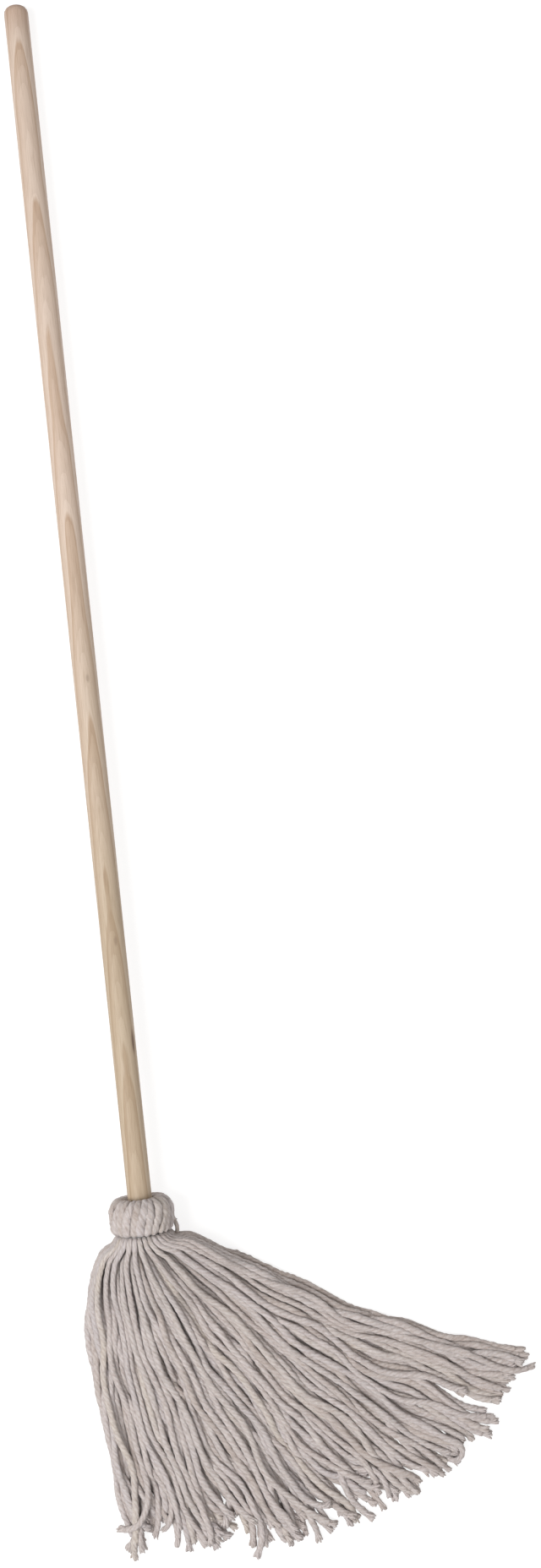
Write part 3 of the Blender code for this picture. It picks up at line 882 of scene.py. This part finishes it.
class Shader:
    """A Principled material and short ways to add nodes to it."""

    def __init__(self, name, **values):
        self.material = bpy.data.materials.new(name)
        self.material.use_nodes = True
        self.tree = self.material.node_tree
        self.main = self.tree.nodes["Principled BSDF"]
        for socket, value in values.items():
            self.main.inputs[socket.replace("_", " ")].default_value = value

    def node(self, kind, inputs=None, **settings):
        made = self.tree.nodes.new(kind)
        for key, value in settings.items():
            setattr(made, key, value)
        for key, value in (inputs or {}).items():
            if isinstance(value, bpy.types.NodeSocket):
                self.tree.links.new(value, made.inputs[key])
            else:
                made.inputs[key].default_value = value
        return made

    def math(self, operation, a, b=0.5, clamp=False):
        return self.node("ShaderNodeMath", {0: a, 1: b}, operation=operation, use_clamp=clamp).outputs[0]

    def weighted(self, a, a_weight, b, b_weight):
        """a and b, each times its weight, added."""
        return self.math("ADD", self.math("MULTIPLY", a, a_weight), self.math("MULTIPLY", b, b_weight))

    def squares(self, a, b):
        """The squares of a and b, added."""
        return self.math("ADD", self.math("POWER", a, 2.0), self.math("POWER", b, 2.0))

    def noise(self, vector, scale, detail=3.0, roughness=0.55):
        inputs = {"Vector": vector, "Scale": scale, "Detail": detail, "Roughness": roughness}
        return self.node("ShaderNodeTexNoise", inputs).outputs["Fac"]

    def mapped(self, vector, scale, location=(0, 0, 0), rotation=(0, 0, 0)):
        inputs = {"Vector": vector, "Scale": scale, "Location": location, "Rotation": rotation}
        return self.node("ShaderNodeMapping", inputs).outputs[0]

    def streaked(self, vector, scale, detail=2.0, roughness=0.55):
        """Noise stretched by a scale for each axis."""
        return self.noise(self.mapped(vector, scale), 1.0, detail, roughness)

    def ramp(self, value, stops, interpolation="LINEAR"):
        made = self.node("ShaderNodeValToRGB", {"Fac": value})
        made.color_ramp.interpolation = interpolation
        elements = made.color_ramp.elements
        while len(elements) < len(stops):
            elements.new(0.5)
        for element, (place, colour) in zip(elements, stops):
            element.position = place
            element.color = (*colour, 1.0)
        return made.outputs["Color"]

    def mix(self, share, a, b, kind="MIX"):
        made = self.node("ShaderNodeMix", data_type="RGBA", blend_type=kind)
        usable = {s.name: s for s in made.inputs if s.type in ("RGBA", "VALUE") and s.enabled}
        for key, value in (("Factor", share), ("A", a), ("B", b)):
            if isinstance(value, bpy.types.NodeSocket):
                self.tree.links.new(value, usable[key])
            else:
                usable[key].default_value = (*value, 1.0) if isinstance(value, tuple) else value
        return next(s for s in made.outputs if s.enabled)

    def link(self, value, socket):
        self.tree.links.new(value, self.main.inputs[socket])

    def bump(self, height, distance, strength=1.0):
        made = self.node("ShaderNodeBump", {"Height": height, "Distance": distance, "Strength": strength})
        self.link(made.outputs["Normal"], "Normal")


def cotton():
    """Undyed cotton yarn: greyish, some strands creamier or pinker, with painted shade in the grooves between the
    plies, lint and fibres.
    """
    shader = Shader(
        "cotton_yarn",
        Roughness=0.92,
        Sheen_Weight=0.25,
        Sheen_Roughness=0.45,
        Specular_IOR_Level=0.15,
    )
    fibre = shader.node("ShaderNodeAttribute", attribute_name="fibre").outputs["Vector"]
    tint = shader.node("ShaderNodeAttribute", attribute_name="tint").outputs["Fac"]
    strand = shader.ramp(tint, STRAND_TONES)
    patches = shader.streaked(fibre, (60, 60, 22), 3.0)
    strand = shader.mix(shader.ramp(patches, ((0.40, BLACK), (0.75, WHITE))), strand, STRAND_PATCHES)
    # Multiplies painted shade into the grooves between the plies
    strand = shader.mix(1.0, strand, painted_groove_shade(shader, fibre), "MULTIPLY")
    lint = shader.streaked(fibre, (420, 420, 300), 3.0, 0.6)
    mottle = shader.ramp(lint, ((0.32, (0.82, 0.78, 0.75)), (0.50, WHITE), (0.70, grey(1.10))))
    strand = shader.mix(1.0, strand, mottle, "MULTIPLY")
    fine = shader.streaked(fibre, (2600, 2600, 240), 4.0, 0.65)
    streaks = shader.ramp(fine, ((0.30, (0.80, 0.78, 0.76)), (0.62, WHITE)))
    shader.link(shader.mix(0.75, strand, streaks, "MULTIPLY"), "Base Color")
    coarse = shader.streaked(fibre, (700, 700, 260))
    shader.bump(shader.weighted(fine, 0.6, coarse, 1.1), 0.0008, 1.0)
    return shader.material


def painted_groove_shade(shader, fibre):
    """Painted shade where two of the four plies meet: there |2xy| / (x^2 + y^2) round the strand is near 1."""
    place = shader.node("ShaderNodeSeparateXYZ", {0: fibre}).outputs
    twice = shader.math("MULTIPLY", shader.math("MULTIPLY", place[0], place[1]), 2.0)
    product = shader.math("ABSOLUTE", twice)
    squares = shader.squares(place[0], place[1])
    between_plies = shader.math("DIVIDE", product, shader.math("MAXIMUM", squares, 1e-9))
    return shader.ramp(between_plies, ((0.70, WHITE), (1.00, PLY_GROOVE_SHADE)))


def wood():
    """Pale sanded beech-like wood, browner towards the head, with flat-sawn arches, pores and knots."""
    shader = Shader("handle_wood", Roughness=0.5, Specular_IOR_Level=0.35)
    tilt = math.asin(-AXIS[2])
    place = shader.node("ShaderNodeTexCoord").outputs["Object"]
    moved = Matrix.Rotation(tilt, 4, "X") @ Vector(CREASE)
    local = shader.mapped(place, (1, 1, 1), tuple(-moved), (tilt, 0, 0))
    late, fine_lines, along = growth_rings(shader, local)
    pale = shader.mix(late, PALE_WOOD, PALE_LATE_WOOD)
    tan = shader.mix(late, TAN_WOOD, TAN_LATE_WOOD)
    drift = shader.streaked(local, (20, 2.5, 20))
    browner = shader.math("ADD", shader.weighted(along, -1.1, drift, 0.7), 0.55, True)
    colour = shader.mix(shader.ramp(browner, ((0.10, BLACK), (0.62, WHITE))), pale, tan)
    colour = shader.mix(0.6, colour, fine_lines, "MULTIPLY")
    pores = shader.streaked(local, (1500, 45, 1500), 3.0, 0.6)
    grain = shader.ramp(pores, ((0.34, (0.72, 0.66, 0.60)), (0.50, WHITE)))
    colour = shader.mix(0.45, colour, grain, "MULTIPLY")
    # Darkens the wood towards the rounded end of the handle
    toward_end = shader.node("ShaderNodeMapRange", {0: along, 1: DARKER_END_FROM, 2: DARKER_END_TO}).outputs[0]
    colour = shader.mix(toward_end, colour, DARKER_END_WOOD, "MULTIPLY")
    shader.link(marked(shader, local, colour), "Base Color")
    shader.link(shader.ramp(pores, ((0.3, grey(0.68)), (0.6, grey(0.48)))), "Roughness")
    raised, sunk = shader.math("MULTIPLY", pores, 0.5), shader.math("MULTIPLY", late, 0.10)
    shader.bump(shader.math("SUBTRACT", raised, sunk), 0.0003, 0.4)
    return shader.material


def growth_rings(shader, local):
    """Cylinders round a pith below the handle and nearly along it, so that the top shows arches.

    Gives the late wood, the colour of the fine lines between the rings, and the place along the handle.
    """
    bend = shader.streaked(local, (4.0, 5.0, 4.0))
    side, along, up = shader.node("ShaderNodeSeparateXYZ", {0: local}).outputs
    wander = shader.math("MULTIPLY", shader.math("SUBTRACT", bend, PITH_MIDDLE), PITH_WANDER)
    from_pith_x = shader.math("ADD", side, wander)
    from_pith_z = shader.math("ADD", up, PITH_DEPTH)
    ring_radius = shader.math("SQRT", shader.squares(from_pith_x, from_pith_z))
    slope = shader.math("MULTIPLY", along, PITH_SLOPE)
    uneven = shader.streaked(local, (12, 7.0, 12))
    fine_bend = shader.streaked(local, (160, 9, 160))
    waves = shader.weighted(uneven, 0.006, fine_bend, 0.0012)
    place = shader.math("ADD", shader.math("ADD", ring_radius, slope), waves)
    ring = shader.math("FRACT", shader.math("DIVIDE", place, RING_SPACING), 0.0)
    late = shader.ramp(ring, ((0.0, BLACK), (0.07, WHITE), (0.45, grey(0.40)), (1.0, BLACK)))
    fine_ring = shader.math("FRACT", shader.math("DIVIDE", place, FINE_RING_SPACING), 0.0)
    fine_stops = ((0.0, WHITE), (0.6, (0.94, 0.92, 0.90)), (1.0, (0.86, 0.83, 0.80)))
    return late, shader.ramp(fine_ring, fine_stops), along


def marked(shader, local, colour):
    for x, y, wide, long, strength in WOOD_MARKS:
        spot = shader.mapped(local, (1 / wide, 1 / long, 0.0), (-x / wide, -y / long, 0))
        reach = shader.node("ShaderNodeVectorMath", {0: spot}, operation="LENGTH").outputs["Value"]
        mark = shader.ramp(reach, ((0.25, WHITE), (1.0, BLACK)), "EASE")
        colour = shader.mix(shader.math("MULTIPLY", mark, strength), colour, MARK_WOOD)
    return colour


def wire_metal():
    """Galvanised wire gone dull: dark zinc with spangle and nearly black stains."""
    shader = Shader("tie_steel", Metallic=1.0)
    place = shader.node("ShaderNodeTexCoord").outputs["Object"]
    spangle = shader.node("ShaderNodeTexVoronoi", {"Vector": place, "Scale": 900.0}).outputs["Distance"]
    stain = shader.noise(place, 260.0, 3.0)
    zinc = shader.mix(spangle, ZINC, PALE_ZINC)
    dull = shader.ramp(stain, ((0.45, BLACK), (0.70, WHITE)))
    shader.link(shader.mix(dull, zinc, STAINED_ZINC), "Base Color")
    shader.link(shader.ramp(stain, ((0.3, grey(0.45)), (0.7, grey(0.7)))), "Roughness")
    shader.bump(stain, 0.0001, 0.4)
    return shader.material


def studio_paint(name, albedo, glow):
    """A matt paint that also gives off white light of its own."""
    return Shader(
        name,
        Base_Color=(*grey(albedo), 1.0),
        Emission_Color=(*WHITE, 1.0),
        Emission_Strength=glow,
        Roughness=1.0,
        Specular_IOR_Level=0.0,
    ).material


def dress(node, look):
    """Puts a look on a CAD node that stays."""
    obj = frame["nodes"][node]
    obj.data.materials.clear()
    obj.data.materials.append(look)
    for polygon in obj.data.polygons:
        polygon.use_smooth = True
    obj.data.set_sharp_from_angle(angle=SHARP_EDGE)


# Studio


def make_floor():
    bpy.ops.mesh.primitive_plane_add(size=FLOOR_SIZE, location=(0.0, 0.0, FLOOR_Z))
    floor = bpy.context.object
    floor.name = "studio_floor"
    floor.data.materials.append(studio_paint("studio_floor", FLOOR_GREY, FLOOR_GLOW))


def make_backdrop():
    """A pale wall far away all round, for low views. Only the camera sees it, so it adds no light."""
    bpy.ops.mesh.primitive_uv_sphere_add(segments=64, ring_count=32, radius=BACKDROP_RADIUS)
    backdrop = bpy.context.object
    backdrop.name = "studio_backdrop"
    backdrop.data.materials.append(studio_paint("studio_backdrop", 0.0, BACKDROP_GLOW))
    backdrop.visible_diffuse = False
    backdrop.visible_glossy = False
    backdrop.visible_transmission = False
    backdrop.visible_shadow = False


def area_light(name, offset, size, power):
    """A round lamp that points at the middle of the mop."""
    centre = (CAD_BOX[0] + CAD_BOX[1]) / 2
    data = bpy.data.lights.new(name, "AREA")
    data.shape = "DISK"
    data.size = size
    data.energy = power
    light = bpy.data.objects.new(name, data)
    light.location = centre + Vector(offset)
    light.rotation_euler = (centre - light.location).to_track_quat("-Z", "Y").to_euler()
    bpy.context.scene.collection.objects.link(light)


def make_lights():
    world = bpy.data.worlds.new("studio")
    world.use_nodes = True
    world.node_tree.nodes["Background"].inputs["Color"].default_value = WORLD_COLOUR
    world.node_tree.nodes["Background"].inputs["Strength"].default_value = WORLD_STRENGTH
    bpy.context.scene.world = world
    area_light("key_light", *KEY_LIGHT)
    area_light("fill_light", *FILL_LIGHT)


def make_camera():
    """Straight above, turned so that the handle leans to the left, with the whole mop in view."""
    aim = CREASE + np.array(AIM)
    data = bpy.data.cameras.new("camera")
    data.sensor_width = SENSOR
    data.lens = data.sensor_width * CAMERA_HEIGHT / VIEW_HEIGHT
    camera = bpy.data.objects.new("camera", data)
    camera.location = (aim[0], aim[1], CREASE[2] + CAMERA_HEIGHT)
    camera.rotation_euler = (0.0, 0.0, CAMERA_LEAN)
    bpy.context.scene.collection.objects.link(camera)
    bpy.context.scene.camera = camera


make_camera()
yarn_look = cotton()
wire_look = wire_metal()
make_skirt(yarn_look)
make_collar(yarn_look)
ring_of_strands("inner_lay_yarn", "inner_yarn_lay", LAY_STRANDS, LAY_PROFILE, yarn_look)
half_a_strand = math.pi / RING_STRANDS
ring_of_strands("waist_ring_yarn", "waist_yarn", RING_STRANDS, WAIST_PROFILE, yarn_look, half_a_strand)
dress("handle", wood())
for wire_node in ("inner_tie_wire", "outer_tie_wire", "tie_staple_left", "tie_staple_right"):
    dress(wire_node, wire_look)
make_floor()
make_backdrop()
make_lights()
bpy.context.scene.view_settings.view_transform = "Standard"
